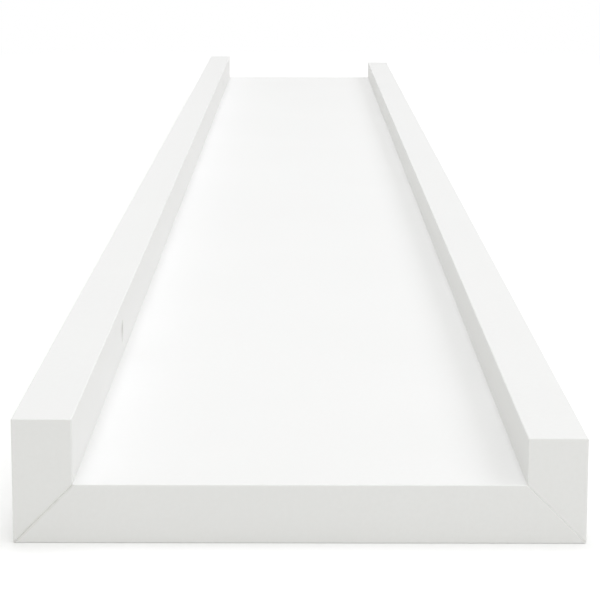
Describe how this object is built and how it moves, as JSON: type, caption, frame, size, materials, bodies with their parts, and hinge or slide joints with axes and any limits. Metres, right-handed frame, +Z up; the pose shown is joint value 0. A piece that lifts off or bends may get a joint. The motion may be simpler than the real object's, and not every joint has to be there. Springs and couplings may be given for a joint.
{
  "type": "floating wall shelf",
  "caption": "White picture ledge: a shallow mitred channel of MDF boards with a taller back rail, a low front lip and plain screw holes for fixing it to a wall.",
  "frame": {"origin": "on the wall plane, midway between the two screw holes and level with them", "axes": "+X along the ledge, +Y from the front lip towards the wall, +Z up"},
  "size_m": [0.8, 0.09, 0.0201],
  "materials": {
    "white_lacquer": "satin white lacquer on MDF",
    "pressed_beech": "raw pressed beech"
  },
  "bodies": {
    "root": {"back_rail": "white_lacquer", "shelf_board": "white_lacquer", "front_lip": "white_lacquer", "back_biscuit_1": "pressed_beech", "back_biscuit_2": "pressed_beech", "back_biscuit_3": "pressed_beech", "back_biscuit_4": "pressed_beech", "back_biscuit_5": "pressed_beech", "front_biscuit_1": "pressed_beech", "front_biscuit_2": "pressed_beech", "front_biscuit_3": "pressed_beech", "front_biscuit_4": "pressed_beech", "front_biscuit_5": "pressed_beech"}
  },
  "joints": []
}
